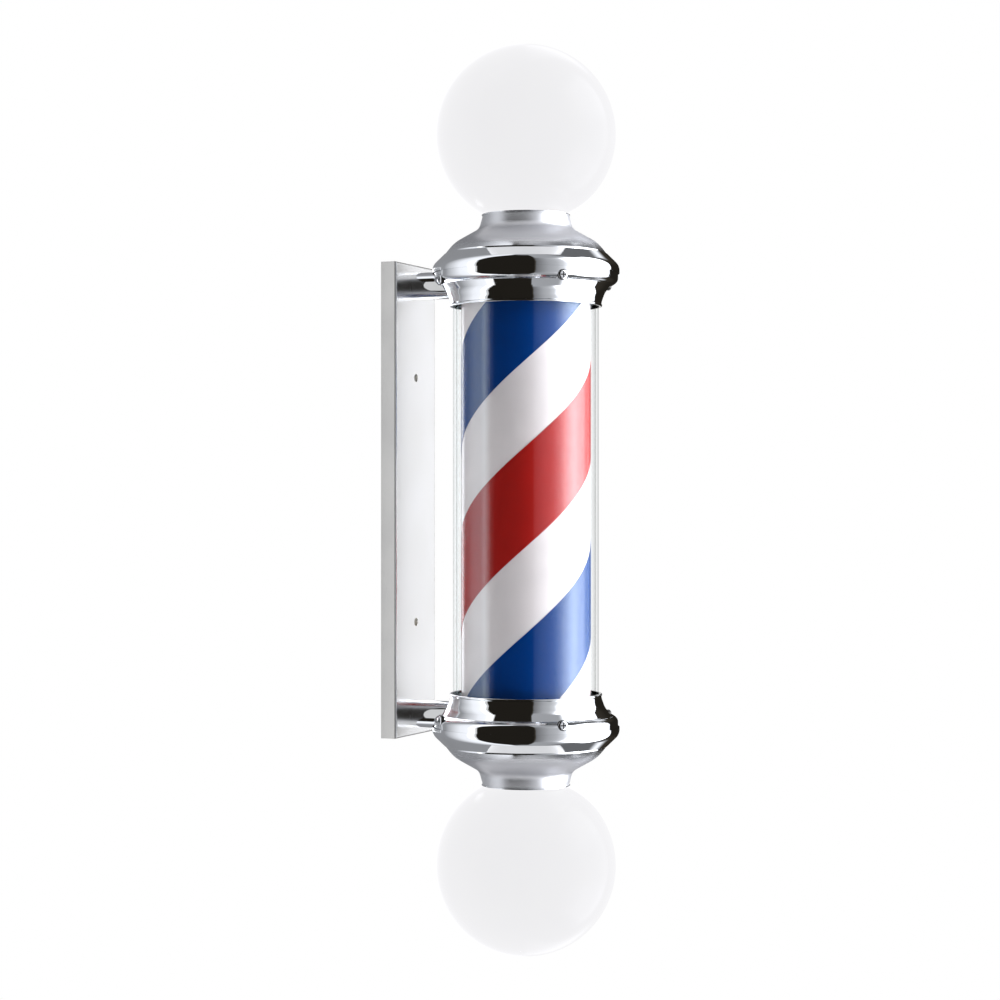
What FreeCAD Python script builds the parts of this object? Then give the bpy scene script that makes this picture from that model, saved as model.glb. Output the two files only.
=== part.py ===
"""Wall-mounted barber pole light with a globe lamp at each end.

Millimetres, +Z up.  The wall is the plane Y = 0 and the room is on the -Y side.  The origin is the
middle of the wall plate, on the wall.  The pole stands upright in front of the plate, and its two end
caps are mirror images, so the upper one is drawn and the lower one is its reflection.
"""
import FreeCAD
import Part

import math
import os

# ---- overall layout ----
PLATE_WIDTH = 80.0
PLATE_HEIGHT = 400.0
PLATE_DEPTH = 14.0
PLATE_SHEET = 1.2
PLATE_BEND_R = 1.6
POLE_Y = -115.0  # the pole's own axis, in front of the wall
SCREW_HOLE_R = 3.5
SCREW_HOLE_Z = 104.0  # half the distance between the two wall screws

# ---- glass tube and striped drum ----
TUBE_R = 61.0
TUBE_WALL = 2.5
TUBE_HALF = 168.0
TUBE_SLACK = 0.2
GASKET_INNER_R = 57.9
DRUM_R = 54.0
DRUM_WALL = 1.0
DRUM_HALF = 172.0
FILM_GAP = 0.03
FILM_THICK = 0.22
STRIPE_LEAD = 302.0  # height gained in one turn, right-handed
RED_ANGLE = 98.0
BLUE_ANGLE = 94.0
RED_START = -161.5  # direction of the red stripe's middle at mid-height
DRUM_DISC_Z = 170.0
DRUM_DISC_THICK = 4.0

# ---- end caps, heights above mid-height ----
RING_FOOT_Z = 161.4
RING_TOP_Z = 192.3
RING_R = 77.0
CAP_R = 78.2
CAP_LIP_Z = 189.2
CAP_WALL = 1.1
NECK_R = 36.4
NECK_Z = 237.6
RING_LEDGE_Z = 169.5
FRAME_BORE_R = 57.6
FRAME_TOP_Z = 186.0
FRAME_WEB = 3.0
FRAME_RIM_Z = 189.0
RING_SCREW_Z = 182.0
RING_SCREW_ANGLES = (45.0, 135.0, 225.0, 315.0)
SEAT_Z = 221.6  # underside of the gallery cup that holds the globe
SEAT_THICK = 1.2
GALLERY_INNER_R = 34.0

# ---- globes and their lamps ----
GLOBE_R = 75.0
GLOBE_WALL = 2.5
GLOBE_Z = 305.3
GLOBE_NECK_R = 31.0
GLOBE_NECK_END = 227.2
HOLDER_FOOT_Z = 228.2
HOLDER_R = 18.5
HOLDER_TOP_Z = 262.0
BULB_R = 22.5
BULB_Z = 291.0

# ---- arms and hollow threaded rods ----
ARM_R = 11.5
ARM_WALL = 1.5
ARM_Z = 182.0
ROD_R = 5.0
ROD_BORE_R = 3.2
NUT_R = 8.0
NUT_THICK = 5.0
ROD_CLEARANCE_R = 5.3

# ---- fittings behind the plate ----
SHEET_BACK_Y = -PLATE_DEPTH + PLATE_SHEET
SPACER_R = 6.0
TERMINAL_HALF_X = 16.0
TERMINAL_HALF_Z = 8.0
TERMINAL_BACK_Y = -2.0
TERMINAL_WAYS = (-10.0, 0.0, 10.0)
TERMINAL_SCREW_Z = (-4.5, 4.5)
TERMINAL_SCREW_R = 2.3
TERMINAL_WIRE_R = 2.2
TERMINAL_WIRE_Y = -7.6
CLAMP_Z = -34.0
CLAMP_HALF_X = 13.0
CLAMP_HALF_Z = 5.0
CLAMP_FOOT = 1.5
CLAMP_BAR = 3.0
CLAMP_SADDLE_R = 6.5
CLAMP_CABLE_R = 3.4
CLAMP_SCREW_X = 9.0
EARTH_X = 24.0
EARTH_Z = -14.0
EARTH_NUT_R = 4.0

# ---- drum fittings ----
DISC_RIM_R = DRUM_R - DRUM_WALL
DISC_RIM_WALL = 2.5
DISC_RIM_HEIGHT = 12.0
BUSH_R = 13.0
BUSH_FLANGE_R = 16.0
BUSH_FLANGE = 2.0
HUB_BOSS_R = 9.0
HUB_FLANGE_R = 18.0
HUB_FLANGE = 3.0
HUB_END_Z = -181.4
HUB_SCREW_R = 14.0

# ---- motor and its bridge ----
MOTOR_R = 24.5
MOTOR_END_Z = -206.0
MOTOR_EAR_X = 30.0
MOTOR_EAR_R = 5.0
MOTOR_EAR_THICK = 2.0
SHAFT_R = 3.5
RUNNING_GAP = 0.05
BRIDGE_Y = 32.0
BRIDGE_FOOT_Y = 42.0
BRIDGE_SCREW_Y = 37.5
BRIDGE_WIDTH = 16.0
BRIDGE_SHEET = 2.0
BRIDGE_LOW_Z = -214.5

# ---- light inside the drum ----
POST_SIDE = 16.0
POST_LOW_Z = -158.0
POST_TOP_Z = 149.0
POST_BORE_R = 5.0
SPIGOT_TOP_Z = 166.0
STEM_R = 10.0
STEM_BORE_R = 8.6
STEM_LOW_Z = 150.0
STEM_FLANGE_R = 22.0
STEM_FLANGE = 3.0
STEM_SCREW_R = 17.0
STRIP_WIDTH = 9.0
STRIP_THICK = 0.8
STRIP_HALF = 146.0
CHIP_SIDE = 5.0
CHIP_THICK = 1.2
CHIP_PITCH = 24.0
CHIP_COUNT = 12
DRIVER_INNER_X = 14.0
DRIVER_OUTER_X = 38.0
DRIVER_HALF_Y = 23.0
DRIVER_HEIGHT = 16.0

# ---- small fasteners ----
M4_R = 2.0
M3_R = 1.5
SCREW_HEAD_R = 4.3  # heads of the four screws in each ring
SCREW_SEAT = 74.4  # how far from the pole's axis the heads start and end
SCREW_CROWN = 77.8
SCREW_CROWN_ROUND = 1.8
SMALL_HEAD_R = 2.6
SMALL_HEAD = 1.8
PAN_HEAD_R = 2.8
PAN_HEAD = 2.0
WASHER_R = 9.5
WASHER_THICK = 1.2
SLOT_HALF = 3.0  # slots run right across the small screw heads

Z_AXIS = FreeCAD.Vector(0, 0, 1)
Y_AXIS = FreeCAD.Vector(0, 1, 0)
ORIGIN = FreeCAD.Vector(0, 0, 0)
POLE = FreeCAD.Vector(0, POLE_Y, 0)


# ---- drawing helpers ----
def vec(x, y, z):
    return FreeCAD.Vector(x, y, z)


def fillet_arc(before, corner, after, radius):
    """Arc of the given radius that rounds a corner between two straight runs."""
    to_before = (before - corner).normalize()
    to_after = (after - corner).normalize()
    half = to_before.getAngle(to_after) / 2
    reach = radius / math.tan(half)
    bisector = (to_before + to_after).normalize()
    middle = corner + bisector * (radius / math.sin(half) - radius)
    return corner + to_before * reach, middle, corner + to_after * reach


def outline(points, closed=True):
    """Wire in the XZ plane through (r, z) points; a third number rounds that corner to its radius."""
    corners = [vec(p[0], 0, p[1]) for p in points]
    edges = []
    count = len(points)
    first = last = corners[0]
    for i, point in enumerate(points):
        if len(point) == 3:
            start, middle, end = fillet_arc(corners[i - 1], corners[i], corners[(i + 1) % count], point[2])
            if i > 0:
                edges.append(Part.makeLine(last, start))
            else:
                first = start
            edges.append(Part.Arc(start, middle, end).toShape())
            last = end
        elif i > 0:
            edges.append(Part.makeLine(last, corners[i]))
            last = corners[i]
    if closed:
        edges.append(Part.makeLine(last, first))
    return Part.Wire(edges)


def turned(points):
    """Solid of revolution about the pole's axis."""
    solid = Part.Face(outline(points)).revolve(ORIGIN, Z_AXIS, 360)
    return solid.translated(POLE)


def tube(inner_r, outer_r, low, high):
    """Plain ring or tube about the pole's axis; an inner radius of 0 gives a disc."""
    solid = Part.makeCylinder(outer_r, high - low, vec(0, POLE_Y, low))
    if inner_r > 0:
        solid = solid.cut(Part.makeCylinder(inner_r, high - low, vec(0, POLE_Y, low)))
    return solid


def post(radius, x, y, low, high):
    return Part.makeCylinder(radius, high - low, vec(x, y, low))


def rod_along_y(radius, x, z, back, front):
    """Cylinder towards the room, from back to front (front is the more negative Y)."""
    return Part.makeCylinder(radius, back - front, vec(x, back, z), vec(0, -1, 0))


def rod_outwards(radius, near, far, angle, z):
    """Cylinder that points straight out from the pole's axis at the given angle and height."""
    direction = vec(math.cos(math.radians(angle)), math.sin(math.radians(angle)), 0)
    return Part.makeCylinder(radius, far - near, POLE + direction * near + vec(0, 0, z), direction)


def distance_from_axis(point):
    return math.hypot(point.x - POLE.x, point.y - POLE.y)


def box(low, high):
    size = vec(*high) - vec(*low)
    return Part.makeBox(size.x, size.y, size.z, vec(*low))


def hexagon(radius, centre, direction, length):
    """Hexagonal prism that starts at a centre point and runs along a direction."""
    across = vec(1, 0, 0)
    other = direction.cross(across)
    turns = [math.radians(60 * k) for k in range(7)]
    corners = [centre + across * radius * math.cos(t) + other * radius * math.sin(t) for t in turns]
    return Part.Face(Part.makePolygon(corners)).extrude(direction * length)


def nut_on_pole(low):
    """Nut on a hollow threaded nipple, upright on the pole's axis."""
    nut = hexagon(NUT_R, vec(0, POLE_Y, low), Z_AXIS, NUT_THICK)
    return nut.cut(tube(0, ROD_R, low, low + NUT_THICK))


def joined(shapes):
    """One solid from several that overlap or touch."""
    return shapes[0].fuse(shapes[1:]).removeSplitter()


def group(shapes):
    """Separate identical pieces that share one node."""
    return Part.makeCompound(shapes)


def reflected(shape):
    """The lower end's copy of an upper piece."""
    return shape.mirror(ORIGIN, Z_AXIS)


def both_ends(shape):
    return group([shape, reflected(shape)])


# ---- wall plate and its fittings ----
def wall_plate():
    """Shallow folded box, open towards the wall, with rounded front edges."""
    half_w, half_h = PLATE_WIDTH / 2, PLATE_HEIGHT / 2
    outer = box((-half_w, -PLATE_DEPTH, -half_h), (half_w, 0, half_h))
    front_edges = [e for e in outer.Edges if e.BoundBox.YMax < -PLATE_DEPTH + 0.1]
    outer = outer.makeFillet(PLATE_BEND_R, front_edges)
    s = PLATE_SHEET
    inner = box((-half_w + s, -PLATE_DEPTH + s, -half_h + s), (half_w - s, 1, half_h - s))
    holes = []
    for z in (SCREW_HOLE_Z, -SCREW_HOLE_Z):
        holes.append(rod_along_y(SCREW_HOLE_R, 0, z, 1, -PLATE_DEPTH - 1))
    for z in (ARM_Z, -ARM_Z):
        holes.append(rod_along_y(ROD_CLEARANCE_R, 0, z, 1, -PLATE_DEPTH - 1))
    return outer.cut([inner] + holes)


def screw_spacers():
    """Sleeves behind the two screw holes that carry the screw's load to the wall."""
    spacers = []
    for z in (SCREW_HOLE_Z, -SCREW_HOLE_Z):
        sleeve = rod_along_y(SPACER_R, 0, z, 0, SHEET_BACK_Y)
        spacers.append(sleeve.cut(rod_along_y(SCREW_HOLE_R, 0, z, 0, SHEET_BACK_Y)))
    return group(spacers)


def terminal_block():
    """Three-way mains terminal block, screwed to the back of the plate's sheet."""
    half_x, half_z = TERMINAL_HALF_X, TERMINAL_HALF_Z
    body = box((-half_x, SHEET_BACK_Y, -half_z), (half_x, TERMINAL_BACK_Y, half_z))
    cuts = []
    for x in TERMINAL_WAYS:
        cuts.append(post(TERMINAL_WIRE_R, x, TERMINAL_WIRE_Y, -half_z - 1, half_z + 1))
        for z in TERMINAL_SCREW_Z:
            cuts.append(rod_along_y(TERMINAL_SCREW_R + 0.1, x, z, 0, TERMINAL_WIRE_Y))
    for x in (-5.0, 5.0):
        cuts.append(rod_along_y(M3_R, x, 0, 0, SHEET_BACK_Y - 1))
    return body.cut(cuts)


def terminal_screws():
    screws = []
    for x in TERMINAL_WAYS:
        for z in TERMINAL_SCREW_Z:
            screw = rod_along_y(TERMINAL_SCREW_R, x, z, -3.2, -6.4)
            slot = box((x - 0.4, -4.0, z - SLOT_HALF), (x + 0.4, 0, z + SLOT_HALF))
            screws.append(screw.cut(slot))
    return group(screws)


def cable_clamp():
    """Saddle that anchors the supply cable against the sheet, just below the terminal block."""
    low, high = CLAMP_Z - CLAMP_HALF_Z, CLAMP_Z + CLAMP_HALF_Z
    under = SHEET_BACK_Y + CLAMP_FOOT
    bar = box((-CLAMP_HALF_X, under, low), (CLAMP_HALF_X, under + CLAMP_BAR, high))
    feet = []
    for x in (-CLAMP_SCREW_X, CLAMP_SCREW_X):
        feet.append(box((x - 3, SHEET_BACK_Y, low), (x + 3, under, high)))
    cable_y = SHEET_BACK_Y + CLAMP_CABLE_R - 0.2
    above_sheet = box((-CLAMP_HALF_X, SHEET_BACK_Y, low), (CLAMP_HALF_X, -1, high))
    saddle = post(CLAMP_SADDLE_R, 0, cable_y, low, high).common(above_sheet)
    cuts = [post(CLAMP_CABLE_R, 0, cable_y, low - 1, high + 1)]
    cuts += [rod_along_y(M3_R, x, CLAMP_Z, 0, SHEET_BACK_Y - 1) for x in (-CLAMP_SCREW_X, CLAMP_SCREW_X)]
    return joined([bar, saddle] + feet).cut(cuts)


def clamp_screws():
    screws = []
    top = SHEET_BACK_Y + CLAMP_FOOT + CLAMP_BAR
    for x in (-CLAMP_SCREW_X, CLAMP_SCREW_X):
        shank = rod_along_y(M3_R, x, CLAMP_Z, top, SHEET_BACK_Y)
        head = rod_along_y(SMALL_HEAD_R, x, CLAMP_Z, top + SMALL_HEAD, top)
        slot = box((x - 0.4, top + 0.9, CLAMP_Z - SLOT_HALF), (x + 0.4, top + 2, CLAMP_Z + SLOT_HALF))
        screws.append(joined([shank, head]).cut(slot))
    return group(screws)


def earth_stud():
    """Stud welded inside the plate for the earth wire."""
    return rod_along_y(M4_R, EARTH_X, EARTH_Z, -3.0, SHEET_BACK_Y)


def earth_nut():
    nut = hexagon(EARTH_NUT_R, vec(EARTH_X, -7.0, EARTH_Z), Y_AXIS, 3.0)
    return nut.cut(rod_along_y(M4_R, EARTH_X, EARTH_Z, 0, -PLATE_DEPTH))


# ---- arms between the plate and the rings ----
def ring_profile(inner):
    """Half section of the chrome ring: rolled foot, hollow skirt and rounded belt."""
    outer = [
        (63.6, RING_FOOT_Z, 0.7),
        (63.6, 162.9, 0.4),
        (63.0, 163.6, 0.4),
        (63.5, 166.2, 12.0),
        (65.8, 172.6, 14.0),
        (70.4, 179.4, 0.8),
        (73.3, 179.9, 1.2),
        (RING_R, 182.6, 5.0),
        (RING_R, RING_TOP_Z),
    ]
    return outer + inner


def dome_profile():
    """Outer half section of the spun cover, from the globe's neck down to the ring."""
    return [
        (NECK_R, NECK_Z),
        (NECK_R, NECK_Z - 1.2, 4.0),
        (39.3, 226.2, 9.0),
        (60.3, 214.3, 30.0),
        (66.8, 206.2),
        (66.9, 205.3),
        (68.4, 204.8),
        (CAP_R, 195.2, 9.0),
        (CAP_R, CAP_LIP_Z),
    ]


def cap_body():
    """The outside of ring and cover with nothing removed, to shape what butts against them."""
    ring_solid = turned(ring_profile([(0, RING_TOP_Z), (0, RING_FOOT_Z)]))
    cover_solid = turned(dome_profile() + [(0, CAP_LIP_Z), (0, NECK_Z)])
    return ring_solid.fuse(cover_solid)


def arm():
    """Polished tube, shaped at its end to the ring and the cover."""
    reach = POLE_Y + 50
    solid = rod_along_y(ARM_R, 0, ARM_Z, -PLATE_DEPTH, reach)
    bore = rod_along_y(ARM_R - ARM_WALL, 0, ARM_Z, 0, reach - 1)
    return solid.cut([bore, cap_body()])


def arm_rods():
    """Hollow threaded rods that tie plate, arm, ring and cap frame together; the wires run in them."""
    back, front = -5.0, POLE_Y + FRAME_BORE_R + 0.2
    rod = rod_along_y(ROD_R, 0, ARM_Z, back, front)
    return both_ends(rod.cut(rod_along_y(ROD_BORE_R, 0, ARM_Z, back, front)))


def arm_washers():
    back = SHEET_BACK_Y + WASHER_THICK
    washer = rod_along_y(WASHER_R, 0, ARM_Z, back, SHEET_BACK_Y)
    return both_ends(washer.cut(rod_along_y(ROD_CLEARANCE_R, 0, ARM_Z, back, SHEET_BACK_Y)))


def arm_nuts():
    start = vec(0, SHEET_BACK_Y + WASHER_THICK, ARM_Z)
    nut = hexagon(NUT_R, start, Y_AXIS, NUT_THICK)
    return both_ends(nut.cut(rod_along_y(ROD_R, 0, ARM_Z, 0, -PLATE_DEPTH)))


# ---- chrome end cap ----
def ring():
    """Cast ring that carries the tube's end and the cap; four screws hold it to the frame."""
    inner = [
        (72.2, RING_TOP_Z),
        (72.2, 183.0),
        (67.4, 179.6),
        (65.0, 176.4),
        (63.0, 171.8),
        (FRAME_BORE_R, 171.8),
        (FRAME_BORE_R, RING_LEDGE_Z),
        (TUBE_R + TUBE_SLACK, RING_LEDGE_Z),
        (TUBE_R + TUBE_SLACK, RING_FOOT_Z),
    ]
    body = turned(ring_profile(inner))
    cuts = [rod_along_y(ROD_CLEARANCE_R, 0, ARM_Z, -PLATE_DEPTH, POLE_Y + 60)]
    for angle in RING_SCREW_ANGLES:
        cuts.append(rod_outwards(M4_R + 0.2, 60, 80, angle, RING_SCREW_Z))
        cuts.append(rod_outwards(SCREW_HEAD_R + 0.2, SCREW_SEAT, 80, angle, RING_SCREW_Z))
    return body.cut(cuts)


def ring_screws():
    """Four cross-head screws, one on each diagonal of the ring."""
    screws = []
    for angle in RING_SCREW_ANGLES:
        shank = rod_outwards(M4_R, 62.5, SCREW_SEAT, angle, RING_SCREW_Z)
        head = rod_outwards(SCREW_HEAD_R, SCREW_SEAT, SCREW_CROWN, angle, RING_SCREW_Z)
        outermost = max(head.Edges, key=lambda edge: distance_from_axis(edge.CenterOfMass))
        head = head.makeFillet(SCREW_CROWN_ROUND, [outermost])
        slot = box((SCREW_CROWN - 1.4, -0.5, -2.6), (SCREW_CROWN + 1, 0.5, 2.6))
        cross = joined([slot, slot.rotated(ORIGIN, vec(1, 0, 0), 90)])
        cross = cross.rotated(ORIGIN, Z_AXIS, angle).translated(POLE + vec(0, 0, RING_SCREW_Z))
        screws.append(joined([shank, head]).cut(cross))
    return group(screws)


def dome():
    """Spun cover from the ring up to the globe's neck, drawn by its outer face and its thickness."""
    outer = outline(dome_profile(), closed=False)
    section = outer.makeOffset2D(-CAP_WALL, 2, True, True)
    return section.revolve(ORIGIN, Z_AXIS, 360).translated(POLE)


def cap_frame(centre_hole_r, other_holes):
    """Cast spider inside the ring: a conical rim that the ring sits on, closed by a web."""
    web_z = FRAME_TOP_Z - FRAME_WEB
    body = turned(
        [
            (centre_hole_r, web_z),
            (FRAME_BORE_R, web_z),
            (FRAME_BORE_R, 172.4),
            (62.6, 172.4),
            (64.6, 176.6),
            (67.0, 179.8),
            (71.9, 183.3),
            (71.9, FRAME_RIM_Z),
            (FRAME_BORE_R, FRAME_RIM_Z),
            (FRAME_BORE_R, FRAME_TOP_Z),
            (centre_hole_r, FRAME_TOP_Z),
        ]
    )
    cuts = [rod_along_y(ROD_R, 0, ARM_Z, POLE_Y + 80, POLE_Y + 50)]
    for angle in RING_SCREW_ANGLES:
        cuts.append(rod_outwards(M4_R, 50, 80, angle, RING_SCREW_Z))
    return body.cut(cuts + other_holes)


def gallery():
    """Spun cup in the neck that holds the globe, with a rolled rim over the neck's edge."""
    cup = turned(
        [
            (ROD_CLEARANCE_R, SEAT_Z),
            (34.7, SEAT_Z, 2.5),
            (34.7, NECK_Z),
            (37.0, NECK_Z, 0.3),
            (37.0, NECK_Z + 0.8, 0.4),
            (GALLERY_INNER_R, NECK_Z + 0.8, 0.6),
            (GALLERY_INNER_R, SEAT_Z + SEAT_THICK, 1.3),
            (ROD_CLEARANCE_R, SEAT_Z + SEAT_THICK),
        ]
    )
    wire_holes = [post(3.0, x, POLE_Y, SEAT_Z - 1, SEAT_Z + 3) for x in (-14.0, 14.0)]
    return cup.cut(wire_holes)


def grip_ring():
    """Rubber ring in the gallery that grips the globe's neck and cushions the globe."""
    return turned(
        [
            (GLOBE_NECK_R + RUNNING_GAP, 230.0),
            (GALLERY_INNER_R - 0.1, 230.0),
            (GALLERY_INNER_R - 0.1, NECK_Z + 0.5),
            (GLOBE_NECK_R + RUNNING_GAP, NECK_Z - 0.9),
        ]
    )


def nipple(low):
    """Hollow threaded tube on the pole's axis that carries the gallery and the lampholder."""
    return tube(ROD_BORE_R, ROD_R, low, HOLDER_FOOT_Z + 4.0)


# ---- globes and lamps ----
def sphere_height(radius, r):
    return math.sqrt(radius * radius - r * r)


def globe():
    """Opal globe blown in one piece with a short neck."""
    inner_r = GLOBE_R - GLOBE_WALL
    neck_inner = GLOBE_NECK_R - GLOBE_WALL
    outside = vec(GLOBE_NECK_R, 0, GLOBE_Z - sphere_height(GLOBE_R, GLOBE_NECK_R))
    inside = vec(neck_inner, 0, GLOBE_Z - sphere_height(inner_r, neck_inner))
    foot_out = vec(GLOBE_NECK_R, 0, GLOBE_NECK_END)
    foot_in = vec(neck_inner, 0, GLOBE_NECK_END)
    top_out = vec(0, 0, GLOBE_Z + GLOBE_R)
    top_in = vec(0, 0, GLOBE_Z + inner_r)
    edges = [
        Part.makeLine(foot_in, foot_out),
        Part.makeLine(foot_out, outside),
        Part.Arc(outside, vec(GLOBE_R, 0, GLOBE_Z), top_out).toShape(),
        Part.makeLine(top_out, top_in),
        Part.Arc(top_in, vec(inner_r, 0, GLOBE_Z), inside).toShape(),
        Part.makeLine(inside, foot_in),
    ]
    return Part.Face(Part.Wire(edges)).revolve(ORIGIN, Z_AXIS, 360).translated(POLE)


def lampholder():
    """Plastic screw lampholder with a stepped skirt."""
    return turned(
        [
            (ROD_R, HOLDER_FOOT_Z),
            (15.0, HOLDER_FOOT_Z, 2.0),
            (16.0, 240.0),
            (HOLDER_R, 241.0),
            (HOLDER_R, HOLDER_TOP_Z, 1.0),
            (14.2, HOLDER_TOP_Z),
            (14.2, 236.0),
            (ROD_R, 236.0),
        ]
    )


def bulb_base():
    """Screw shell of the bulb with its turned thread and end contact."""
    thread_low, thread_high, crests = 240.0, 258.0, 5
    crest_r, root_r = 13.2, 12.4
    pitch = (thread_high - thread_low) / crests
    points = [(0, 236.6), (4.5, 236.6), (4.5, 237.8), (root_r - 2, 239.0)]
    for k in range(crests):
        start = thread_low + k * pitch
        points += [(root_r, start), (crest_r, start + pitch / 2)]
    points += [(root_r, thread_high), (root_r, 262.4), (0, 262.4)]
    return turned(points)


def bulb():
    """Golf-ball bulb: a plastic collar that swells into a round diffuser."""
    collar_r = 13.4
    start = vec(collar_r, 0, 262.4)
    waist = vec(collar_r + 1.5, 0, BULB_Z - sphere_height(BULB_R, collar_r + 1.5))
    top = vec(0, 0, BULB_Z + BULB_R)
    edges = [
        Part.makeLine(vec(0, 0, 262.4), start),
        Part.makeLine(start, waist),
        Part.Arc(waist, vec(BULB_R, 0, BULB_Z), top).toShape(),
        Part.makeLine(top, vec(0, 0, 262.4)),
    ]
    return Part.Face(Part.Wire(edges)).revolve(ORIGIN, Z_AXIS, 360).translated(POLE)


# ---- tube and drum ----
def clear_tube():
    return tube(TUBE_R - TUBE_WALL, TUBE_R, -TUBE_HALF, TUBE_HALF)


def tube_gaskets():
    return both_ends(tube(GASKET_INNER_R, TUBE_R, TUBE_HALF, RING_LEDGE_Z))


def drum_sleeve():
    return tube(DRUM_R - DRUM_WALL, DRUM_R, -DRUM_HALF, DRUM_HALF)


def stripe(middle, width):
    """Film wound round the sleeve: a sector of a thin ring, swept along the helix."""
    inner_r = DRUM_R + FILM_GAP
    outer_r = inner_r + FILM_THICK
    twist_at_foot = -DRUM_HALF / STRIPE_LEAD * 360.0

    def point(radius, angle):
        turn = math.radians(middle + twist_at_foot + angle)
        return vec(radius * math.cos(turn), radius * math.sin(turn), -DRUM_HALF)

    half = width / 2
    section = Part.Wire(
        [
            Part.makeLine(point(inner_r, -half), point(outer_r, -half)),
            Part.Arc(point(outer_r, -half), point(outer_r, 0), point(outer_r, half)).toShape(),
            Part.makeLine(point(outer_r, half), point(inner_r, half)),
            Part.Arc(point(inner_r, half), point(inner_r, 0), point(inner_r, -half)).toShape(),
        ]
    )
    helix = Part.makeHelix(STRIPE_LEAD, 2 * DRUM_HALF, inner_r)
    helix.translate(vec(0, 0, -DRUM_HALF))
    helix.rotate(ORIGIN, Z_AXIS, middle + twist_at_foot)
    film = Part.Wire(helix.Edges).makePipeShell([section], True, True)
    return film.translated(POLE)


def drum_disc(centre_hole_r):
    """Moulded end disc with a rim that the sleeve is glued to; drawn for the upper end."""
    high = DRUM_DISC_Z
    low = high - DRUM_DISC_THICK
    rim_inner_r = DISC_RIM_R - DISC_RIM_WALL
    return turned(
        [
            (centre_hole_r, high),
            (DISC_RIM_R, high),
            (DISC_RIM_R, high - DISC_RIM_HEIGHT),
            (rim_inner_r, high - DISC_RIM_HEIGHT),
            (rim_inner_r, low),
            (centre_hole_r, low),
        ]
    )


def drum_bush():
    """Nylon bush in the top disc that turns on the lamp stem."""
    low, high = DRUM_DISC_Z - DRUM_DISC_THICK, DRUM_DISC_Z
    bore = STEM_R + RUNNING_GAP
    return turned(
        [
            (bore, low - DRUM_DISC_THICK),
            (BUSH_R, low - DRUM_DISC_THICK),
            (BUSH_R, high),
            (BUSH_FLANGE_R, high),
            (BUSH_FLANGE_R, high + BUSH_FLANGE),
            (bore, high + BUSH_FLANGE),
        ]
    )


def hub_screw_places():
    turns = [math.radians(90 + 120 * k) for k in range(3)]
    return [(HUB_SCREW_R * math.cos(t), POLE_Y + HUB_SCREW_R * math.sin(t)) for t in turns]


def drum_bottom_disc():
    """The lower disc has a round seat for the drive hub's boss."""
    holes = [post(M3_R, x, y, -DRUM_DISC_Z - 1, -DRUM_DISC_Z + 5) for x, y in hub_screw_places()]
    return reflected(drum_disc(HUB_BOSS_R)).cut(holes)


def drive_hub():
    """Hub pressed on the motor shaft; its flange is screwed under the lower disc."""
    flange_low, flange_high = -DRUM_DISC_Z - HUB_FLANGE, -DRUM_DISC_Z
    body = turned(
        [
            (SHAFT_R, HUB_END_Z),
            (HUB_BOSS_R, HUB_END_Z, 1.0),
            (HUB_BOSS_R, flange_low),
            (HUB_FLANGE_R, flange_low, 0.8),
            (HUB_FLANGE_R, flange_high),
            (HUB_BOSS_R, flange_high),
            (HUB_BOSS_R, flange_high + DRUM_DISC_THICK),
            (SHAFT_R, flange_high + DRUM_DISC_THICK),
        ]
    )
    holes = [post(M3_R, x, y, flange_low - 1, flange_high + 1) for x, y in hub_screw_places()]
    return body.cut(holes)


def upright_screw(head_r, head_height, x, y, head_face, tip):
    """Small screw that points up: its head hangs below head_face and its shank ends at tip."""
    shank = post(M3_R, x, y, head_face, tip)
    return joined([shank, post(head_r, x, y, head_face - head_height, head_face)])


def hub_screws():
    face = -DRUM_DISC_Z - HUB_FLANGE
    places = hub_screw_places()
    return group([upright_screw(SMALL_HEAD_R, SMALL_HEAD, x, y, face, -DRUM_DISC_Z + 3.0) for x, y in places])


def thrust_washer():
    """Nylon washer under the hub that takes the drum's weight on the frame."""
    web = -FRAME_TOP_Z + FRAME_WEB
    return tube(SHAFT_R + 0.3, 12.0, web, HUB_END_Z)


# ---- motor ----
def motor_body():
    """Flat synchronous gear motor with two mounting ears and a blind bearing for its shaft."""
    top = -FRAME_TOP_Z
    can = turned([(0, MOTOR_END_Z), (MOTOR_R, MOTOR_END_Z, 1.5), (MOTOR_R, top, 0.8), (0, top)])
    ear_low = (-MOTOR_EAR_X, POLE_Y - MOTOR_EAR_R, top - MOTOR_EAR_THICK)
    ears = [box(ear_low, (MOTOR_EAR_X, POLE_Y + MOTOR_EAR_R, top))]
    cuts = [tube(0, SHAFT_R + RUNNING_GAP, MOTOR_END_Z + 2.0, top + 1)]
    for x in (-MOTOR_EAR_X, MOTOR_EAR_X):
        ears.append(post(MOTOR_EAR_R, x, POLE_Y, top - MOTOR_EAR_THICK, top))
        cuts.append(post(M3_R, x, POLE_Y, top - MOTOR_EAR_THICK - 1, top + 1))
    return joined([can] + ears).cut(cuts)


def motor_shaft():
    return tube(0, SHAFT_R, MOTOR_END_Z + 2.5, -DRUM_DISC_Z + DRUM_DISC_THICK)


def motor_screws():
    face = -FRAME_TOP_Z - MOTOR_EAR_THICK
    tip = -FRAME_TOP_Z + FRAME_WEB
    places = ((-MOTOR_EAR_X, POLE_Y), (MOTOR_EAR_X, POLE_Y))
    return group([upright_screw(PAN_HEAD_R, PAN_HEAD, x, y, face, tip) for x, y in places])


def bridge_screw_places():
    return [(0, POLE_Y + side * BRIDGE_SCREW_Y) for side in (-1, 1)]


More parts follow.
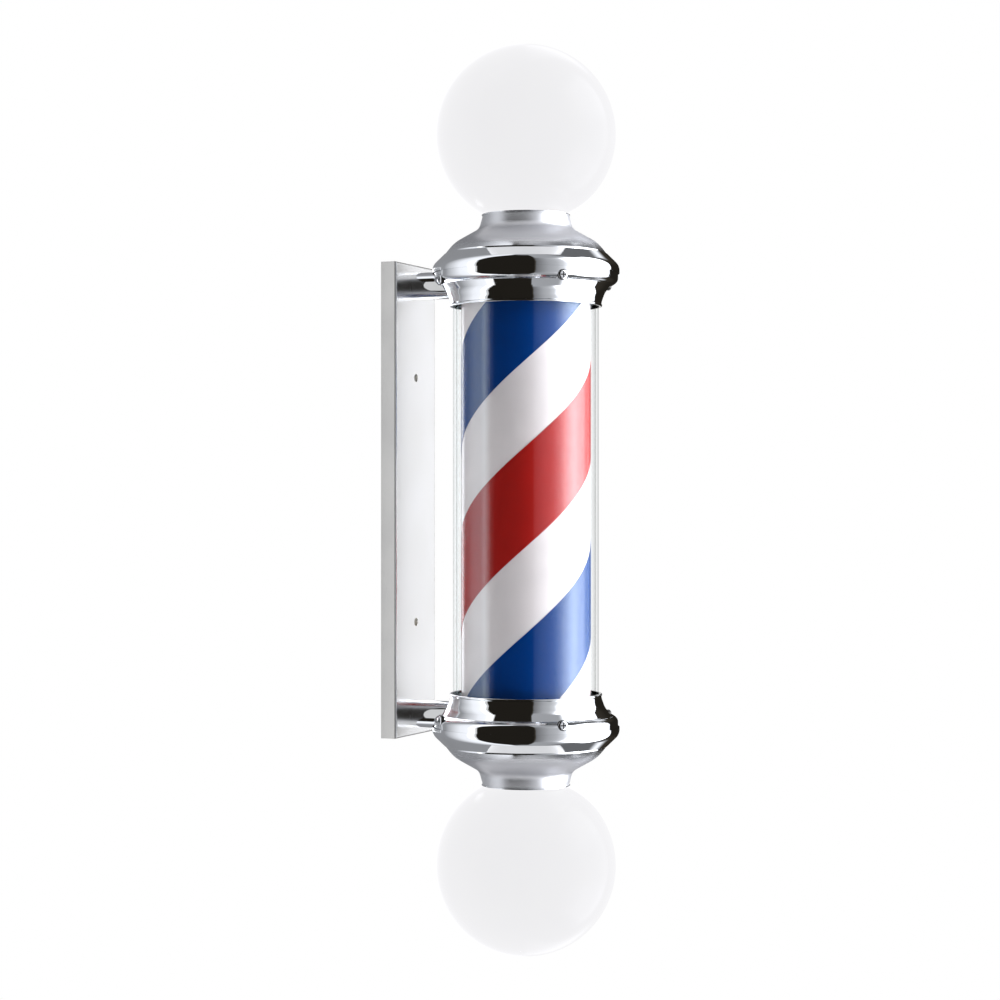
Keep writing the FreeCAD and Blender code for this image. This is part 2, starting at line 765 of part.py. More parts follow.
def motor_bridge():
    """Strap bent over the motor that carries the lower nipple."""
    half, top, sheet = BRIDGE_WIDTH / 2, -FRAME_TOP_Z, BRIDGE_SHEET
    pieces = [box((-half, POLE_Y - BRIDGE_Y, BRIDGE_LOW_Z), (half, POLE_Y + BRIDGE_Y, BRIDGE_LOW_Z + sheet))]
    for side in (-1, 1):
        near, leg, foot = side * (BRIDGE_Y - sheet), side * BRIDGE_Y, side * BRIDGE_FOOT_Y
        low, high = sorted((near, leg))
        pieces.append(box((-half, POLE_Y + low, BRIDGE_LOW_Z), (half, POLE_Y + high, top)))
        low, high = sorted((near, foot))
        pieces.append(box((-half, POLE_Y + low, top - sheet), (half, POLE_Y + high, top)))
    holes = [tube(0, ROD_CLEARANCE_R, BRIDGE_LOW_Z - 1, BRIDGE_LOW_Z + sheet + 1)]
    holes += [post(M3_R, x, y, top - sheet - 1, top + 1) for x, y in bridge_screw_places()]
    return joined(pieces).cut(holes)


def bridge_screws():
    face = -FRAME_TOP_Z - BRIDGE_SHEET
    tip = -FRAME_TOP_Z + FRAME_WEB
    return group([upright_screw(PAN_HEAD_R, PAN_HEAD, x, y, face, tip) for x, y in bridge_screw_places()])


# ---- light inside the drum ----
def stem_screw_places():
    turns = [math.radians(30 + 120 * k) for k in range(3)]
    return [(STEM_SCREW_R * math.cos(t), POLE_Y + STEM_SCREW_R * math.sin(t)) for t in turns]


def lamp_stem():
    """Flanged tube under the upper web; the drum turns round it and the lamp post hangs in it."""
    web = FRAME_TOP_Z - FRAME_WEB
    body = turned(
        [
            (STEM_BORE_R, STEM_LOW_Z),
            (STEM_R, STEM_LOW_Z),
            (STEM_R, web - STEM_FLANGE),
            (STEM_FLANGE_R, web - STEM_FLANGE),
            (STEM_FLANGE_R, web),
            (STEM_BORE_R, web),
        ]
    )
    return body.cut([post(M3_R, x, y, web - STEM_FLANGE - 1, web + 1) for x, y in stem_screw_places()])


def stem_screws():
    face = FRAME_TOP_Z - FRAME_WEB - STEM_FLANGE
    places = stem_screw_places()
    return group([upright_screw(SMALL_HEAD_R, SMALL_HEAD, x, y, face, FRAME_TOP_Z) for x, y in places])


def lamp_post():
    """Square aluminium extrusion with a round spigot that plugs into the stem."""
    half = POST_SIDE / 2
    square = box((-half, POLE_Y - half, POST_LOW_Z), (half, POLE_Y + half, POST_TOP_Z))
    spigot = tube(0, STEM_BORE_R, POST_TOP_Z, SPIGOT_TOP_Z)
    wire_bore = tube(0, POST_BORE_R, POST_LOW_Z - 1, SPIGOT_TOP_Z + 1)
    return joined([square, spigot]).cut(wire_bore)


def led_strips():
    """One strip on each face of the post, each with a row of square light chips."""
    back = POST_SIDE / 2
    front = back + STRIP_THICK
    half = CHIP_SIDE / 2
    pieces = [box((-STRIP_WIDTH / 2, back, -STRIP_HALF), (STRIP_WIDTH / 2, front, STRIP_HALF))]
    for k in range(CHIP_COUNT):
        z = (k - (CHIP_COUNT - 1) / 2) * CHIP_PITCH
        pieces.append(box((-half, front, z - half), (half, front + CHIP_THICK, z + half)))
    strip = pieces[0].fuse(pieces[1:])
    return group([strip.rotated(ORIGIN, Z_AXIS, 90 * quarter).translated(POLE) for quarter in range(4)])


def led_driver():
    """Potted power supply on top of the upper web."""
    low = (DRIVER_INNER_X, POLE_Y - DRIVER_HALF_Y, FRAME_TOP_Z)
    high = (DRIVER_OUTER_X, POLE_Y + DRIVER_HALF_Y, FRAME_TOP_Z + DRIVER_HEIGHT)
    body = box(low, high)
    upright = [e for e in body.Edges if e.BoundBox.ZLength > DRIVER_HEIGHT - 1]
    return body.makeFillet(3.0, upright)


# ---- write every node ----
def upper_nuts():
    web = FRAME_TOP_Z - FRAME_WEB
    return group([nut_on_pole(z) for z in (web - NUT_THICK, FRAME_TOP_Z, SEAT_Z + SEAT_THICK)])


def lower_nuts():
    top = BRIDGE_LOW_Z + BRIDGE_SHEET
    inner = [nut_on_pole(top), nut_on_pole(BRIDGE_LOW_Z - NUT_THICK)]
    return group(inner + [nut_on_pole(-SEAT_Z - SEAT_THICK - NUT_THICK)])


def mirrored_pairs():
    """Pieces that each end has: made for the upper end, then reflected."""
    makers = {
        "arm": arm,
        "ring": ring,
        "ring_screws": ring_screws,
        "dome": dome,
        "gallery": gallery,
        "grip_ring": grip_ring,
        "lampholder": lampholder,
        "bulb_base": bulb_base,
        "bulb": bulb,
        "globe": globe,
    }
    nodes = {}
    for name, make in makers.items():
        nodes["upper_" + name] = make()
        nodes["lower_" + name] = reflected(nodes["upper_" + name])
    return nodes


def web_holes(places):
    return [post(M3_R, x, y, FRAME_TOP_Z - FRAME_WEB - 1, FRAME_TOP_Z + 1) for x, y in places]


def frames():
    """The upper frame carries the lamp stem and nipple, the lower one the motor and its bridge."""
    motor_places = [(-MOTOR_EAR_X, POLE_Y), (MOTOR_EAR_X, POLE_Y)]
    return {
        "upper_frame": cap_frame(ROD_R, web_holes(stem_screw_places())),
        "lower_frame": reflected(cap_frame(SHAFT_R + 0.5, web_holes(motor_places + bridge_screw_places()))),
    }


def single_pieces():
    return {
        "wall_plate": wall_plate(),
        "screw_spacers": screw_spacers(),
        "terminal_block": terminal_block(),
        "terminal_screws": terminal_screws(),
        "cable_clamp": cable_clamp(),
        "clamp_screws": clamp_screws(),
        "earth_stud": earth_stud(),
        "earth_nut": earth_nut(),
        "arm_rods": arm_rods(),
        "arm_washers": arm_washers(),
        "arm_nuts": arm_nuts(),
        "upper_nipple": nipple(178.0),
        "upper_nipple_nuts": upper_nuts(),
        "lower_nipple": reflected(nipple(207.5)),
        "lower_nipple_nuts": lower_nuts(),
        "clear_tube": clear_tube(),
        "tube_gaskets": tube_gaskets(),
        "drum_sleeve": drum_sleeve(),
        "red_stripe": stripe(RED_START, RED_ANGLE),
        "blue_stripe": stripe(RED_START + 180.0, BLUE_ANGLE),
        "drum_top_disc": drum_disc(BUSH_R),
        "drum_bottom_disc": drum_bottom_disc(),
        "drum_bush": drum_bush(),
        "drive_hub": drive_hub(),
        "hub_screws": hub_screws(),
        "thrust_washer": thrust_washer(),
        "motor_body": motor_body(),
        "motor_shaft": motor_shaft(),
        "motor_screws": motor_screws(),
        "motor_bridge": motor_bridge(),
        "bridge_screws": bridge_screws(),
        "lamp_stem": lamp_stem(),
        "stem_screws": stem_screws(),
        "lamp_post": lamp_post(),
        "led_strips": led_strips(),
        "led_driver": led_driver(),
    }


def main():
    os.makedirs("parts", exist_ok=True)
    nodes = mirrored_pairs()
    nodes.update(frames())
    nodes.update(single_pieces())
    for name, shape in nodes.items():
        shape.exportStep("parts/" + name + ".step")
        state = "ok" if shape.isValid() else "NOT VALID"
        print(f"{name:20s} {len(shape.Solids):3d} solids {shape.Volume:12.1f} mm3 {state}")


main()
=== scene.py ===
import math

import bmesh
import bpy
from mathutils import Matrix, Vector


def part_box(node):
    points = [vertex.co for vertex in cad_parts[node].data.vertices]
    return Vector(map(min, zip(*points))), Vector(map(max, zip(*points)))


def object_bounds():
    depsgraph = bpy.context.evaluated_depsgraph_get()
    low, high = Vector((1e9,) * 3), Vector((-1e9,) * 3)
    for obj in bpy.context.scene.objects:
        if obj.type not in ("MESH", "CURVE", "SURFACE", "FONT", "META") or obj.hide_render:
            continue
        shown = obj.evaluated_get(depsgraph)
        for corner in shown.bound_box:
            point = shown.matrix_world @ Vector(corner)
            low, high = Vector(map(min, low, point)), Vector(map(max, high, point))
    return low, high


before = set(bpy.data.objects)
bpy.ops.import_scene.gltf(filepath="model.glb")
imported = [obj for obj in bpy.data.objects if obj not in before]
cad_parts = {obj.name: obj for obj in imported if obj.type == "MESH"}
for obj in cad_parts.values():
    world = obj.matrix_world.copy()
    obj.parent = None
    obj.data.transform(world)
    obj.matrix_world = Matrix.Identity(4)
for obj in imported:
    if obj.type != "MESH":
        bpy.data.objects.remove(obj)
CAD_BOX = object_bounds()

# ---- driving values, in metres and degrees --------------------------------------------------------------

CAMERA_AZIMUTH = -68.0            # 0 looks at the wall plate's front, negative goes to the pole's left
CAMERA_DISTANCE = 2.0             # from the pole's axis
CAMERA_LENS = 86.1                # millimetres on the sensor below
CAMERA_SENSOR = 36.0
POLE_RIGHT_OF_CENTRE = 0.0217     # how far the pole's axis stands right of the middle of the view

FLOOR_BELOW = 0.5                 # from the lowest point of the lamp
FLOOR_RADIUS = 1.6
FLOOR_SIDES = 96

# Light that reaches the lamp from round about, as (direction, level) pairs: direction 0 is the camera's side
# and 90 the right of the view. A black card stands in front, a softbox on the right, and black beyond it.
STUDIO_LEVELS = (
    (-180, 0.28), (-120, 0.34), (-90, 1.12), (-68, 1.28), (-65, 0.013), (11, 0.013), (13, 0.20), (28, 0.45),
    (38, 0.56), (46, 0.8), (56, 1.6), (68, 3.5), (84, 6.0), (96, 4.6), (110, 3.0), (126, 2.6), (129, 0.015),
    (180, 0.015),
)
OVERHEAD_LEVELS = (
    (-180, 0.3), (-60, 0.42), (10, 0.42), (14, 0.42), (80, 0.42), (98, 0.16), (146, 0.16), (154, 1.9),
    (166, 1.6), (180, 0.8),
)
LEFT_TO_RIGHT = (11, 14)          # directions between which the card gives way to the softbox
OVERHEAD_FROM = (80.0, 43.0)      # how high the card and the softbox reach before the overhead light begins
OVERHEAD_FADES = (4.0, 12.0)      # over how many degrees the card and the softbox fade at their tops
BACK_BEGINS = (118, 135)          # directions between which the softbox gives way to the black beyond it
BACK_LOWER = 18.0                 # how much lower than the softbox the black beyond it ends
SOFTBOX_ENDS = 1.0                # how much brighter the softbox is towards its top and foot
SOFTBOX_END_RISE = (9.0, 24.0)    # heights between which it gets that much brighter
SOFTBOX_END_FROM = (45.0, 60.0)   # directions between which that begins
BRIGHTEST = 10.0                  # the level at a ramp's full white
WARM_BLACK = (1.25, 1.08, 0.85)
COOL_WHITE = (0.985, 1.0, 1.05)
WARM_TO_COOL = (0.03, 0.15)       # levels between which the light's colour goes from the first to the second

# Narrow lights that the wall plate's polished faces mirror.
FRONT_STRIP = {"away": 0.2, "width": 0.075, "radiance": 0.64}
SIDE_STRIP = {"away": 0.2, "width": 0.066, "radiance": 0.72}
STRIP_HEIGHT = 0.8                # of the lamp's height

GLASS_INDEX = 1.5
GLASS_EDGE_MIRROR = 0.045         # mirroring at the tube's edges is held down to this share
GLASS_EDGE = (0.66, 0.92)         # how far the glass faces away where its edge begins to look darker
SCREW_PROUD = 0.0008              # how far the ring's screw heads stand out of it
SCREW_PAINTED_SHADE = (0.0012, 0.0002)     # inward from the screw's face: where its painted shade is full, and ends

# The covers turn satin, with a painted grey reflection, towards the globe. Distances down from the globe's
# seat: where it begins, and is full.
NECK_SATIN_AND_PAINTED_GREY = (0.034, 0.022)
NECK_PAINTED_GREY_REFLECTION = (0.46, 0.465, 0.49)
SATIN_ROUGHER = 0.32
NECK_LESS_METAL_FOR_PAINTED_GREY = 0.3
COLLAR_PAINTED_LIGHTER = (0.0125, 0.0085)         # the upright part of the neck, given a lighter tint as a painted highlight
COLLAR_PAINTED_LIGHTER_TINT = (0.68, 0.69, 0.71)


# ---- node helpers ---------------------------------------------------------------------------------------

class Graph:
    """Short calls for building a node tree. A value may be a number, a tuple or another node's output."""

    def __init__(self, tree):
        self.tree = tree
        tree.nodes.clear()

    def node(self, kind, settings=None, **inputs):
        made = self.tree.nodes.new(kind)
        for name, value in (settings or {}).items():
            setattr(made, name, value)
        for name, value in inputs.items():
            self.put(made.inputs[name.replace("_", " ")], value)
        return made

    def put(self, socket, value):
        if isinstance(value, bpy.types.NodeSocket):
            self.tree.links.new(value, socket)
        else:
            socket.default_value = value

    def math(self, operation, *values, clamp=False):
        made = self.node("ShaderNodeMath", {"operation": operation, "use_clamp": clamp})
        for socket, value in zip(made.inputs, values):
            self.put(socket, value)
        return made.outputs[0]

    def dot(self, vector, axis):
        made = self.node("ShaderNodeVectorMath", {"operation": "DOT_PRODUCT"})
        self.put(made.inputs[0], vector)
        self.put(made.inputs[1], axis)
        return made.outputs["Value"]

    def smooth(self, value, low, high, start=0.0, end=1.0):
        made = self.node("ShaderNodeMapRange", {"interpolation_type": "SMOOTHSTEP"})
        settings = (value, low, high, start, end)
        for name, setting in zip(("Value", "From Min", "From Max", "To Min", "To Max"), settings):
            self.put(made.inputs[name], setting)
        return made.outputs[0]

    def mix(self, factor, first, second):
        made = self.node("ShaderNodeMix", {"data_type": "RGBA"})
        self.put(made.inputs["Factor"], factor)
        self.put(made.inputs[6], first)
        self.put(made.inputs[7], second)
        return made.outputs[2]

    def blend(self, factor, first, second):
        made = self.node("ShaderNodeMixShader")
        for socket, value in zip(made.inputs, (factor, first, second)):
            self.put(socket, value)
        return made.outputs[0]

    def place(self, stretch=(1.0, 1.0, 1.0)):
        """Position on the piece in metres, stretched to lengthen a pattern along an axis."""
        position = self.node("ShaderNodeTexCoord").outputs["Object"]
        return self.node("ShaderNodeMapping", Vector=position, Scale=stretch).outputs[0]

    def noise(self, grain, stretch=(1.0, 1.0, 1.0), detail=3.0):
        """Soft noise from 0 to 1 whose patches are about one grain across."""
        made = self.node("ShaderNodeTexNoise", Vector=self.place(stretch), Scale=1.0 / grain, Detail=detail)
        return made.outputs[0]

    def bump(self, height, depth):
        return self.node("ShaderNodeBump", Height=height, Strength=1.0, Distance=depth).outputs[0]

    def surface(self, shader, kind="ShaderNodeOutputMaterial"):
        output = self.tree.nodes.new(kind)
        self.tree.links.new(shader, output.inputs["Surface"])


def colour(red, green, blue):
    return (red, green, blue, 1.0)


def new_material(name):
    material = bpy.data.materials.new(name)
    material.use_nodes = True
    return material, Graph(material.node_tree)


def aim(thing, target):
    thing.rotation_euler = (target - thing.location).to_track_quat("-Z", "Y").to_euler()


# ---- materials ------------------------------------------------------------------------------------------

def chrome(name, tint=(0.80, 0.815, 0.83), roughness=0.025, neck=False):
    """Bright plating with cloudy smears and hairline polishing marks; on a cover, satin towards its neck with
    a painted grey reflection there, and a lighter tint on its upright part as a painted highlight.
    """
    material, graph = new_material(name)
    smears = graph.smooth(graph.noise(0.03), 0.35, 0.75)
    marks = graph.noise(0.0006, (1.0, 1.0, 0.05))
    rough = graph.math("MULTIPLY_ADD", smears, 0.02, roughness)
    rough = graph.math("MULTIPLY_ADD", marks, 0.01, rough)
    dull = colour(*(0.94 * part for part in tint))
    plating = graph.mix(smears, colour(*tint), dull)
    mirror = 1.0
    if neck:
        height = graph.node("ShaderNodeSeparateXYZ", Vector=graph.place()).outputs[2]
        from_middle = graph.math("ABSOLUTE", height)
        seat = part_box("upper_dome")[1].z
        # This mask makes the neck rougher and lays on a painted grey reflection: a grey tint and less metal.
        satin = graph.smooth(from_middle, *(seat - down for down in NECK_SATIN_AND_PAINTED_GREY))
        rough = graph.math("MULTIPLY_ADD", satin, SATIN_ROUGHER, rough)
        mirror = graph.math("MULTIPLY_ADD", satin, -NECK_LESS_METAL_FOR_PAINTED_GREY, 1.0)
        plating = graph.mix(satin, plating, colour(*NECK_PAINTED_GREY_REFLECTION))
        # Painted highlight: the upright part of the neck is tinted a lighter grey so that it looks brighter.
        collar_painted_lighter = graph.smooth(from_middle, *(seat - down for down in COLLAR_PAINTED_LIGHTER))
        plating = graph.mix(collar_painted_lighter, plating, colour(*COLLAR_PAINTED_LIGHTER_TINT))
    shader = graph.node(
        "ShaderNodeBsdfPrincipled",
        Base_Color=plating,
        Metallic=mirror,
        Roughness=rough,
        Normal=graph.bump(marks, 0.0000015),
    )
    graph.surface(shader.outputs[0])
    return material


def screw_head(name):
    """Chrome head with painted shade: its cross recess and sides are painted near black."""
    material, graph = new_material(name)
    centre = pole_centre()
    offset = graph.node("ShaderNodeVectorMath", {"operation": "SUBTRACT"})
    graph.put(offset.inputs[0], graph.place())
    graph.put(offset.inputs[1], (centre.x, centre.y, 0.0))
    flat = graph.node("ShaderNodeVectorMath", {"operation": "MULTIPLY"})
    graph.put(flat.inputs[0], offset.outputs[0])
    graph.put(flat.inputs[1], (1.0, 1.0, 0.0))
    reach = graph.node("ShaderNodeVectorMath", {"operation": "LENGTH"})
    graph.put(reach.inputs[0], flat.outputs[0])
    face = (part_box("upper_ring")[1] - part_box("upper_ring")[0]).x / 2 + SCREW_PROUD
    # Painted shade: below the face the head is painted near black, in the cross recess and down the sides.
    unshaded_face = graph.smooth(reach.outputs["Value"], *(face - inward for inward in SCREW_PAINTED_SHADE))
    marks = graph.noise(0.0005)
    shader = graph.node(
        "ShaderNodeBsdfPrincipled",
        Base_Color=graph.mix(unshaded_face, colour(0.05, 0.048, 0.045), colour(0.74, 0.75, 0.765)),
        Metallic=1.0,
        Roughness=graph.math("MULTIPLY_ADD", marks, 0.06, graph.smooth(unshaded_face, 0.0, 1.0, 0.3, 0.05)),
        Normal=graph.bump(marks, 0.000004),
    )
    graph.surface(shader.outputs[0])
    return material


def polished_sheet(name):
    """Polished stainless sheet with a fine upright grain and a few smears."""
    material, graph = new_material(name)
    grain = graph.noise(0.0005, (1.0, 1.0, 0.02))
    smears = graph.smooth(graph.noise(0.045), 0.3, 0.8)
    rough = graph.math("MULTIPLY_ADD", smears, 0.035, 0.19)
    rough = graph.math("MULTIPLY_ADD", grain, 0.05, rough)
    shader = graph.node(
        "ShaderNodeBsdfPrincipled",
        Base_Color=graph.mix(smears, colour(0.84, 0.84, 0.84), colour(0.79, 0.79, 0.795)),
        Metallic=1.0,
        Roughness=rough,
        Normal=graph.bump(grain, 0.000002),
    )
    graph.surface(shader.outputs[0])
    return material


def metal(name, tint, roughness, grain, stretch=(1.0, 1.0, 1.0), depth=0.00002):
    """Plain metal with a worked surface: cast, brushed, turned or plated by its grain."""
    material, graph = new_material(name)
    pattern = graph.noise(grain, stretch)
    patches = graph.smooth(graph.noise(0.012), 0.3, 0.75)
    shade = colour(*(0.8 * part for part in tint))
    shader = graph.node(
        "ShaderNodeBsdfPrincipled",
        Base_Color=graph.mix(patches, colour(*tint), shade),
        Metallic=1.0,
        Roughness=graph.math("MULTIPLY_ADD", pattern, 0.2, roughness),
        Normal=graph.bump(pattern, depth),
    )
    graph.surface(shader.outputs[0])
    return material


def moulded(name, tint, roughness, grain=0.0006, depth=0.00002):
    """Moulded plastic or rubber with a fine skin texture and slightly uneven colour."""
    material, graph = new_material(name)
    skin = graph.noise(grain)
    patches = graph.smooth(graph.noise(0.015), 0.3, 0.75)
    shade = colour(*(0.88 * part for part in tint))
    shader = graph.node(
        "ShaderNodeBsdfPrincipled",
        Base_Color=graph.mix(patches, colour(*tint), shade),
        Roughness=graph.math("MULTIPLY_ADD", skin, 0.12, roughness),
        Normal=graph.bump(skin, depth),
    )
    graph.surface(shader.outputs[0])
    return material


def opal_globe_painted_light(name):
    """Opal acrylic whose white is painted on as emitted light, slightly uneven in patches and a little
    brighter towards its outline, with a soft gloss.
    """
    material, graph = new_material(name)
    cloud = graph.noise(0.05)
    painted_whiteness = graph.mix(cloud, colour(0.935, 0.93, 0.95), colour(0.965, 0.962, 0.972))
    facing = graph.node("ShaderNodeLayerWeight", Blend=0.35).outputs["Facing"]
    shader = graph.node(
        "ShaderNodeBsdfPrincipled",
        Base_Color=colour(0.012, 0.012, 0.013),
        Roughness=graph.math("MULTIPLY_ADD", cloud, 0.04, 0.17),
        Specular_IOR_Level=0.02,
        Emission_Color=painted_whiteness,
        # Painted light: the emitted white is a little stronger where the globe turns away, as a painted
        # brighter rim.
        Emission_Strength=graph.smooth(facing, 0.0, 1.0, 0.885, 0.96),
        Normal=graph.bump(graph.noise(0.02), 0.00003),
    )
    graph.surface(shader.outputs[0])
    return material


def clear_glass(name):
    """Thin drawn glass: it passes light straight on and mirrors more towards its edges."""
    material, graph = new_material(name)
    behind = graph.node("ShaderNodeNewGeometry").outputs["Backfacing"]
    index = graph.smooth(behind, 0.0, 1.0, GLASS_INDEX, 1.0 / GLASS_INDEX)
    mirrored = graph.math("MINIMUM", graph.node("ShaderNodeFresnel", IOR=index).outputs[0], GLASS_EDGE_MIRROR)
    wave = graph.noise(0.03, (1.0, 1.0, 0.15))
    dust = graph.noise(0.0015)
    rough = graph.math("MULTIPLY_ADD", dust, 0.02, 0.015)
    facing = graph.node("ShaderNodeLayerWeight", Blend=0.5).outputs["Facing"]
    depth = graph.smooth(facing, *GLASS_EDGE)
    tint = graph.mix(depth, colour(0.996, 0.998, 0.998), colour(0.82, 0.825, 0.825))
    passed = graph.node("ShaderNodeBsdfTransparent", Color=tint).outputs[0]
    gloss = graph.node(
        "ShaderNodeBsdfGlossy",
        Color=colour(0.84, 0.98, 1.0),
        Roughness=rough,
        Normal=graph.bump(wave, 0.00001),
    ).outputs[0]
    graph.surface(graph.blend(mirrored, passed, gloss))
    return material


def film(name, tint, roughness=0.14):
    """Printed vinyl film: satin, with a faint orange-peel skin and slightly uneven ink."""
    material, graph = new_material(name)
    peel = graph.noise(0.0022)
    ink = graph.smooth(graph.noise(0.03), 0.3, 0.7)
    deep = colour(*(0.93 * part for part in tint))
    shader = graph.node(
        "ShaderNodeBsdfPrincipled",
        Base_Color=graph.mix(ink, colour(*tint), deep),
        Roughness=graph.math("MULTIPLY_ADD", peel, 0.06, roughness),
        Specular_IOR_Level=0.3,
        Normal=graph.bump(peel, 0.000012),
    )
    graph.surface(shader.outputs[0])
    return material


def finishes():
    """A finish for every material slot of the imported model."""
    upright = (1.0, 1.0, 0.03)
    return {
        "chrome": chrome("chrome_plate"),
        "chrome_screw": screw_head("chrome_screw_painted_shade"),
        "polished_steel": polished_sheet("polished_sheet"),
        "opal": opal_globe_painted_light("opal_globe_painted_light"),
        "clear_glass": clear_glass("drawn_glass"),
        "drum_white": film("white_sleeve", (0.97, 0.90, 0.89)),
        "red_film": film("red_vinyl", (0.47, 0.016, 0.013)),
        "blue_film": film("blue_vinyl", (0.0005, 0.046, 0.24)),
        "clear_rubber": moulded("silicone", (0.80, 0.80, 0.80), 0.4),
        "black_rubber": moulded("black_gasket", (0.015, 0.015, 0.015), 0.6, 0.0009, 0.00004),
        "black_plastic": moulded("black_moulding", (0.02, 0.02, 0.02), 0.35),
        "white_plastic": moulded("white_moulding", (0.80, 0.80, 0.78), 0.35),
        "nylon": moulded("natural_nylon", (0.82, 0.80, 0.73), 0.45),
        "bulb_plastic": moulded("frosted_bulb", (0.90, 0.90, 0.88), 0.3),
        "plated_brass": metal("plated_shell", (0.72, 0.70, 0.66), 0.2, 0.0006, (1.0, 1.0, 6.0)),
        "brass": metal("bright_brass", (0.75, 0.56, 0.25), 0.18, 0.0006),
        "zinc_steel": metal("zinc_plate", (0.62, 0.63, 0.65), 0.28, 0.0012),
        "shaft_steel": metal("ground_shaft", (0.55, 0.55, 0.56), 0.15, 0.0004, (1.0, 1.0, 8.0), 0.000005),
        "cast_alloy": metal("blasted_casting", (0.60, 0.61, 0.62), 0.45, 0.0009, depth=0.00006),
        "aluminium": metal("extrusion", (0.75, 0.76, 0.77), 0.3, 0.0006, upright, 0.00001),
        "led_board": moulded("led_board", (0.86, 0.86, 0.80), 0.3, 0.003),
    }


def dress_nodes():
    """Give every carried-over node its finish by the slot it was packed with; the domes instead get chrome
    with painted light on the neck.
    """
    by_slot = finishes()
    dome_chrome_painted_neck = chrome("dome_plate_painted_neck", neck=True)
    for name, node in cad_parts.items():
        for place in node.material_slots:
            packed = place.material.name.split(".")[0]
            place.material = dome_chrome_painted_neck if name.endswith("dome") else by_slot[packed]


# ---- camera ---------------------------------------------------------------------------------------------

def pole_centre():
    low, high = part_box("clear_tube")
    return (low + high) / 2


def camera_axes():
    """Unit vectors from the pole to the camera, and to the right of the view."""
    turn = math.radians(CAMERA_AZIMUTH)
    towards = Vector((math.sin(turn), -math.cos(turn), 0.0))
    return towards, Vector((-towards.y, towards.x, 0.0))


def place_camera():
    towards, right = camera_axes()
    data = bpy.data.cameras.new("camera")
    data.lens = CAMERA_LENS
    data.sensor_width = CAMERA_SENSOR
    camera = bpy.data.objects.new("camera", data)
    bpy.context.scene.collection.objects.link(camera)
    camera.location = pole_centre() + towards * CAMERA_DISTANCE
    aim(camera, pole_centre() - right * POLE_RIGHT_OF_CENTRE)
    bpy.context.scene.camera = camera


# ---- studio ---------------------------------------------------------------------------------------------

def level_ramp(graph, azimuth, levels):
    """Brightness by direction, from (degrees, level) pairs."""
    along = graph.math("DIVIDE", graph.math("ADD", azimuth, 180.0), 360.0)
    ramp = graph.node("ShaderNodeValToRGB", Fac=along)
    stops = ramp.color_ramp.elements
    while len(stops) < len(levels):
        stops.new(0.5)
    for stop, (degrees, level) in zip(stops, levels):
        stop.position = (degrees + 180.0) / 360.0
        stop.color = colour(*(3 * (level / BRIGHTEST,)))
    return graph.math("MULTIPLY", ramp.outputs[0], BRIGHTEST)


def studio_level(graph, azimuth, rise):
    """Brightness by direction and by height above or below the horizon, both in degrees."""
    around = level_ramp(graph, azimuth, STUDIO_LEVELS)
    overhead = level_ramp(graph, azimuth, OVERHEAD_LEVELS)
    edge = graph.smooth(azimuth, *LEFT_TO_RIGHT, *OVERHEAD_FROM)
    edge = graph.math("SUBTRACT", edge, graph.smooth(azimuth, *BACK_BEGINS, 0.0, BACK_LOWER))
    fade = graph.smooth(azimuth, *LEFT_TO_RIGHT, *OVERHEAD_FADES)
    high = graph.smooth(graph.math("SUBTRACT", rise, edge), 0.0, fade)
    on_softbox = graph.smooth(azimuth, *SOFTBOX_END_FROM)
    ends = graph.math("MULTIPLY", graph.smooth(rise, *SOFTBOX_END_RISE), on_softbox)
    around = graph.math("MULTIPLY", around, graph.math("MULTIPLY_ADD", ends, SOFTBOX_ENDS, 1.0))
    return graph.math("ADD", around, graph.math("MULTIPLY", high, graph.math("SUBTRACT", overhead, around)))


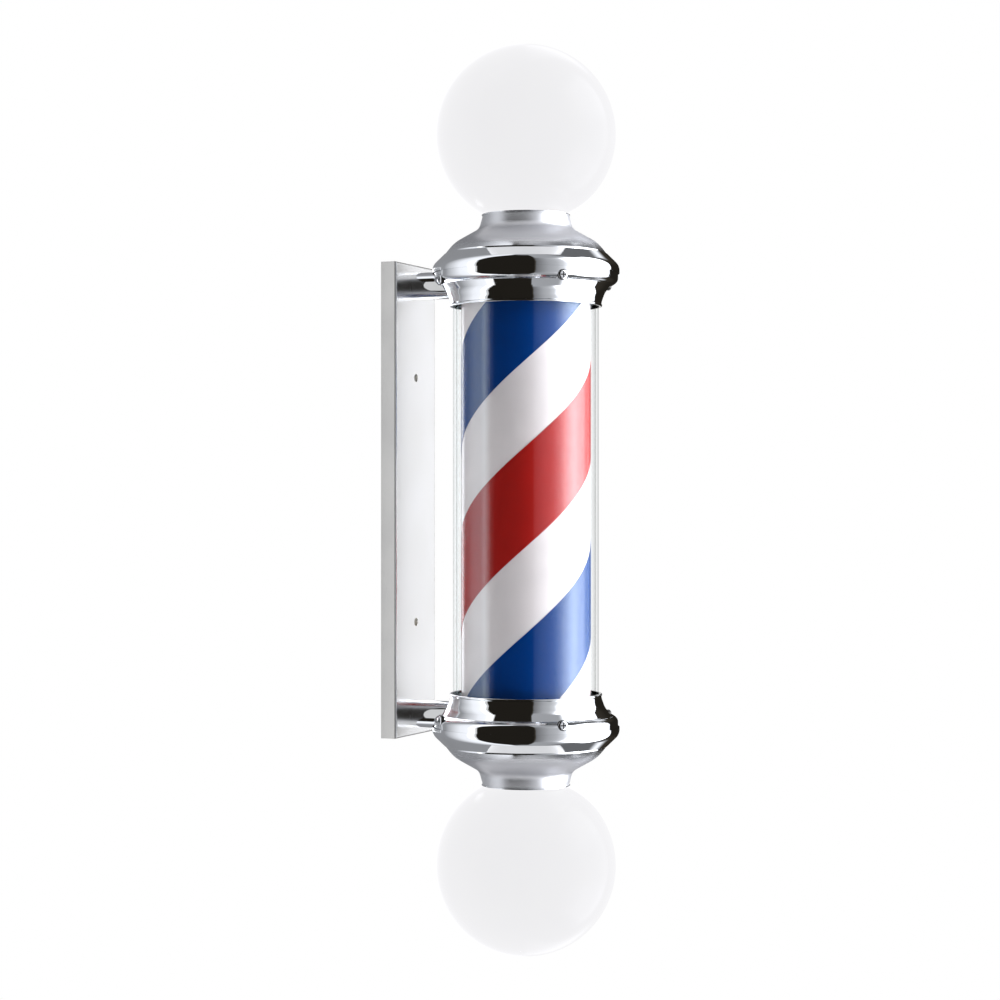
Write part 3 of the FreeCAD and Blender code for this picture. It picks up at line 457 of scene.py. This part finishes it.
def studio_world():
    """White to the camera; to the lamp a softbox on the right, a black card in front and grey beyond."""
    world = bpy.data.worlds.new("studio")
    world.use_nodes = True
    graph = Graph(world.node_tree)
    direction = graph.node("ShaderNodeTexCoord").outputs["Generated"]
    towards, right = camera_axes()
    azimuth = graph.math("ARCTAN2", graph.dot(direction, right), graph.dot(direction, towards))
    azimuth = graph.math("MULTIPLY", azimuth, math.degrees(1.0))
    rise = graph.math("ARCSINE", graph.dot(direction, (0.0, 0.0, 1.0)))
    rise = graph.math("MULTIPLY", graph.math("ABSOLUTE", rise), math.degrees(1.0))
    level = studio_level(graph, azimuth, rise)
    seen = graph.node("ShaderNodeLightPath").outputs["Is Camera Ray"]
    level = graph.math("ADD", graph.math("MULTIPLY", level, graph.math("SUBTRACT", 1.0, seen)), seen)
    tint = graph.mix(graph.smooth(level, *WARM_TO_COOL), colour(*WARM_BLACK), colour(*COOL_WHITE))
    tint = graph.mix(seen, tint, colour(1.0, 1.0, 1.0))
    light = graph.node("ShaderNodeBackground", Color=tint, Strength=level)
    graph.surface(light.outputs[0], "ShaderNodeOutputWorld")
    bpy.context.scene.world = world


def strip_light(name, face, normal, settings):
    """Upright strip that stands where a flat face mirrors it to the camera, and shines at that face."""
    towards, right = camera_axes()
    mirrored = (normal * (2 * towards.dot(normal)) - towards).normalized()
    low, high = CAD_BOX
    data = bpy.data.lights.new(name, "AREA")
    data.shape = "RECTANGLE"
    data.size = settings["width"]
    data.size_y = (high.z - low.z) * STRIP_HEIGHT
    data.energy = settings["radiance"] * math.pi * data.size * data.size_y
    light = bpy.data.objects.new(name, data)
    light.location = face + mirrored * settings["away"]
    aim(light, face)
    light.visible_camera = False
    bpy.context.scene.collection.objects.link(light)


def plate_lights():
    low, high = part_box("wall_plate")
    middle = (low + high) / 2
    front = Vector((middle.x, low.y, middle.z))
    side = Vector((low.x, middle.y, middle.z))
    strip_light("front_strip", front, Vector((0.0, -1.0, 0.0)), FRONT_STRIP)
    strip_light("side_strip", side, Vector((-1.0, 0.0, 0.0)), SIDE_STRIP)


def pale_floor():
    low, high = CAD_BOX
    mesh = bpy.data.meshes.new("floor")
    shape = bmesh.new()
    bmesh.ops.create_circle(shape, cap_ends=True, radius=FLOOR_RADIUS, segments=FLOOR_SIDES)
    shape.to_mesh(mesh)
    shape.free()
    floor = bpy.data.objects.new("floor", mesh)
    floor.location = (0.0, pole_centre().y, low.z - FLOOR_BELOW)
    bpy.context.scene.collection.objects.link(floor)
    material, graph = new_material("pale_floor")
    paint = graph.node("ShaderNodeBsdfDiffuse", Color=colour(0.9, 0.9, 0.9))
    graph.surface(paint.outputs[0])
    mesh.materials.append(material)
    floor.visible_glossy = False


# ---- build ----------------------------------------------------------------------------------------------

bpy.context.scene.view_settings.view_transform = "Standard"
place_camera()
studio_world()
plate_lights()
pale_floor()
dress_nodes()
